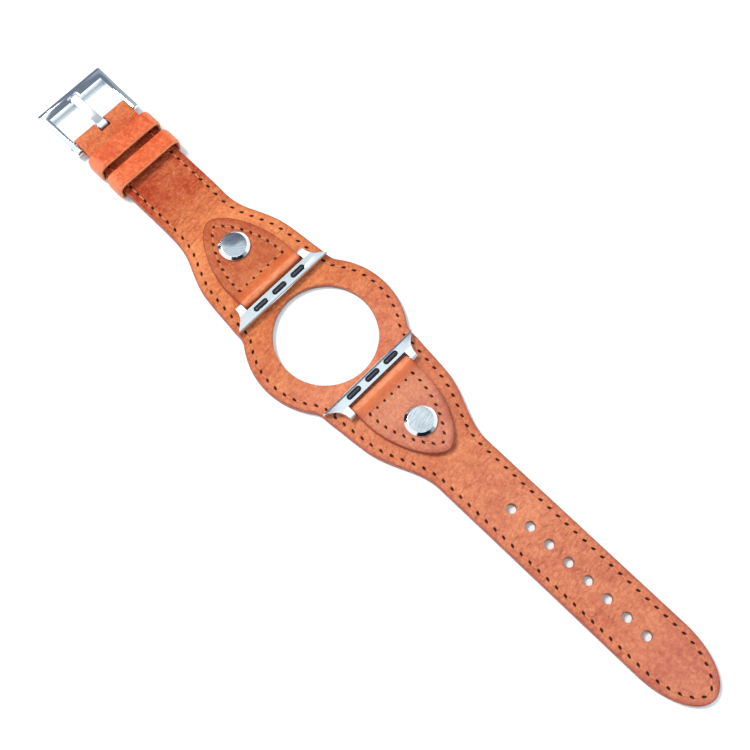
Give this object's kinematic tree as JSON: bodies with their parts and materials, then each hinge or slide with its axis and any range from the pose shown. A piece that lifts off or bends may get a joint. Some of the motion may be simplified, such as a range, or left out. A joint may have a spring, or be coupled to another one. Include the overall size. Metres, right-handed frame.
{
  "type": "leather cuff watch strap",
  "caption": "Leather cuff strap with a round sensor opening, a pin buckle, leather keepers, and studded tabs that hold slide-in adapters for a rectangular smartwatch.",
  "frame": {"origin": "centre of the round sensor opening, on the wrist side of the lining", "axes": "+X along the strap to the pointed tip, +Y across the strap, +Z away from the wrist"},
  "size_m": [0.2563, 0.047, 0.0069],
  "materials": {
    "outer_leather": "semi-matt, fine grain",
    "lining_leather": "matt",
    "stiffener": "matt non-woven sheet",
    "thread": "waxed",
    "tab_leather": "semi-matt, smooth at the fold",
    "keeper_leather": "semi-matt, smooth",
    "polished_steel": "polished, faces of the caps brushed",
    "satin_steel": "satin",
    "plain_steel": "turned",
    "pad_rubber": "matt, ribbed",
    "catch_plastic": "matt, ribbed"
  },
  "bodies": {
    "cuff": {"cuff_leather": "outer_leather", "cuff_core": "stiffener", "cuff_lining": "lining_leather", "cuff_thread": "thread", "buckle_side_stud_cap": "polished_steel", "buckle_side_stud_screw": "plain_steel", "tip_side_stud_cap": "polished_steel", "tip_side_stud_screw": "plain_steel"},
    "buckle_arm": {"buckle_arm_leather": "outer_leather", "buckle_arm_core": "stiffener", "buckle_arm_lining": "lining_leather", "buckle_arm_thread": "thread", "fixed_keeper": "keeper_leather"},
    "tip_arm": {"tip_arm_leather": "outer_leather", "tip_arm_core": "stiffener", "tip_arm_lining": "lining_leather", "tip_arm_thread": "thread"},
    "sliding_keeper": {"sliding_keeper": "keeper_leather"},
    "buckle_frame": {"buckle_frame": "polished_steel", "spring_bar_tube": "plain_steel", "spring_bar_spring": "plain_steel"},
    "buckle_tongue": {"buckle_tongue": "polished_steel"},
    "spring_bar_tip_left": {"spring_bar_tip_left": "plain_steel"},
    "spring_bar_tip_right": {"spring_bar_tip_right": "plain_steel"},
    "buckle_side_tab": {"buckle_side_tab_leather": "tab_leather", "buckle_side_tab_thread": "thread"},
    "buckle_side_adapter": {"buckle_side_adapter_body": "satin_steel", "buckle_side_adapter_pads": "pad_rubber", "buckle_side_adapter_pin": "plain_steel", "buckle_side_catch_spring": "plain_steel"},
    "buckle_side_catch": {"buckle_side_adapter_catch": "catch_plastic"},
    "tip_side_tab": {"tip_side_tab_leather": "tab_leather", "tip_side_tab_thread": "thread"},
    "tip_side_adapter": {"tip_side_adapter_body": "satin_steel", "tip_side_adapter_pads": "pad_rubber", "tip_side_adapter_pin": "plain_steel", "tip_side_catch_spring": "plain_steel"},
    "tip_side_catch": {"tip_side_adapter_catch": "catch_plastic"}
  },
  "joints": [
    {"name": "buckle_arm_flex", "type": "hinge", "parent": "cuff", "child": "buckle_arm", "pos_m": [-0.05, 0, 0.00115], "axis": [0, 1, 0], "range_deg": [-40, 30], "stiffness_Nm_per_rad": 0.03},
    {"name": "tip_arm_flex", "type": "hinge", "parent": "cuff", "child": "tip_arm", "pos_m": [0.06, 0, 0.00115], "axis": [0, -1, 0], "range_deg": [-40, 30], "stiffness_Nm_per_rad": 0.03},
    {"name": "keeper_slide", "type": "slide", "parent": "buckle_arm", "child": "sliding_keeper", "axis": [1, 0, 0], "range_m": [0, 0.0155]},
    {"name": "buckle_swing", "type": "hinge", "parent": "buckle_arm", "child": "buckle_frame", "pos_m": [-0.0956, 0, 0.0023], "axis": [0, 1, 0], "range_deg": [-40, 40]},
    {"name": "tongue_swing", "type": "hinge", "parent": "buckle_frame", "child": "buckle_tongue", "pos_m": [-0.0956, 0, 0.0023], "axis": [0, 1, 0], "range_deg": [0, 60]},
    {"name": "spring_bar_tip_left_slide", "type": "slide", "parent": "buckle_frame", "child": "spring_bar_tip_left", "axis": [0, -1, 0], "range_m": [0, 0.0008], "stiffness_N_per_m": 300, "springref_m": -0.001, "deforming": ["spring_bar_spring"]},
    {"name": "spring_bar_tip_right_slide", "type": "slide", "parent": "buckle_frame", "child": "spring_bar_tip_right", "axis": [0, 1, 0], "range_m": [0, 0.0008], "stiffness_N_per_m": 300, "springref_m": -0.001, "deforming": ["spring_bar_spring"]},
    {"name": "buckle_side_tab_swivel", "type": "hinge", "parent": "cuff", "child": "buckle_side_tab", "pos_m": [-0.0375, 0, 0.0023], "axis": [0, 0, 1], "range_deg": [-8, 8]},
    {"name": "buckle_side_adapter_tilt", "type": "hinge", "parent": "buckle_side_tab", "child": "buckle_side_adapter", "pos_m": [-0.02255, 0, 0.0038], "axis": [0, -1, 0], "range_deg": [0, 80]},
    {"name": "buckle_side_catch_press", "type": "slide", "parent": "buckle_side_adapter", "child": "buckle_side_catch", "axis": [0, 0, -1], "range_m": [0, 0.0006], "stiffness_N_per_m": 300, "springref_m": -0.001, "deforming": ["buckle_side_catch_spring"]},
    {"name": "tip_side_tab_swivel", "type": "hinge", "parent": "cuff", "child": "tip_side_tab", "pos_m": [0.0375, 0, 0.0023], "axis": [0, 0, 1], "range_deg": [-8, 8]},
    {"name": "tip_side_adapter_tilt", "type": "hinge", "parent": "tip_side_tab", "child": "tip_side_adapter", "pos_m": [0.02255, 0, 0.0038], "axis": [0, 1, 0], "range_deg": [0, 80]},
    {"name": "tip_side_catch_press", "type": "slide", "parent": "tip_side_adapter", "child": "tip_side_catch", "axis": [0, 0, -1], "range_m": [0, 0.0006], "stiffness_N_per_m": 300, "springref_m": -0.001, "deforming": ["tip_side_catch_spring"]}
  ]
}
